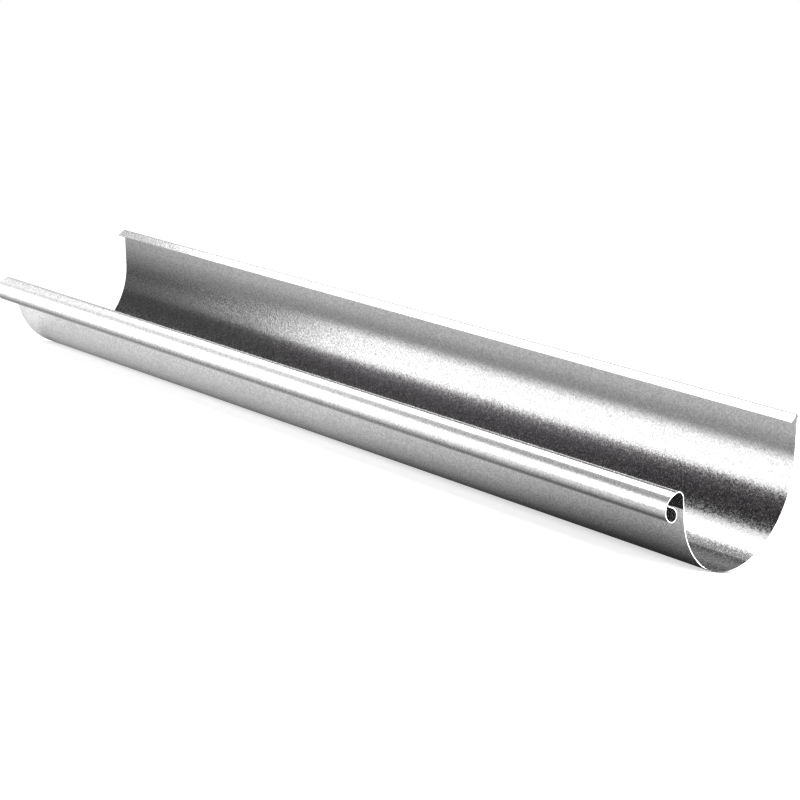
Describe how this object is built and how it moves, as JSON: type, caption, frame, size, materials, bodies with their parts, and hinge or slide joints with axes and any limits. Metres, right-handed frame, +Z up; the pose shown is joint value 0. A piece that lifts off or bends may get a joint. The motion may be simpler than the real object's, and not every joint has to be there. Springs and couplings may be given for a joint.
{
  "type": "gutter section",
  "caption": "Half-round eaves gutter length bent from one steel sheet, with a rolled bead in front and a folded lip at the back.",
  "frame": {"origin": "middle of the footprint's bounding box, on the floor it rests on", "axes": "+X along the gutter, +Z up, +Y towards the back wall and its lip; the bead is on the -Y side. Stored rolled to rest, 25.2 degrees about +X from level, bead side down."},
  "size_m": [0.75, 0.1413, 0.1145],
  "materials": {
    "zinc_coated_steel": "hot-dip zinc-coated sheet, satin with fine grain"
  },
  "bodies": {
    "root": {"gutter_section": "zinc_coated_steel"}
  },
  "joints": []
}
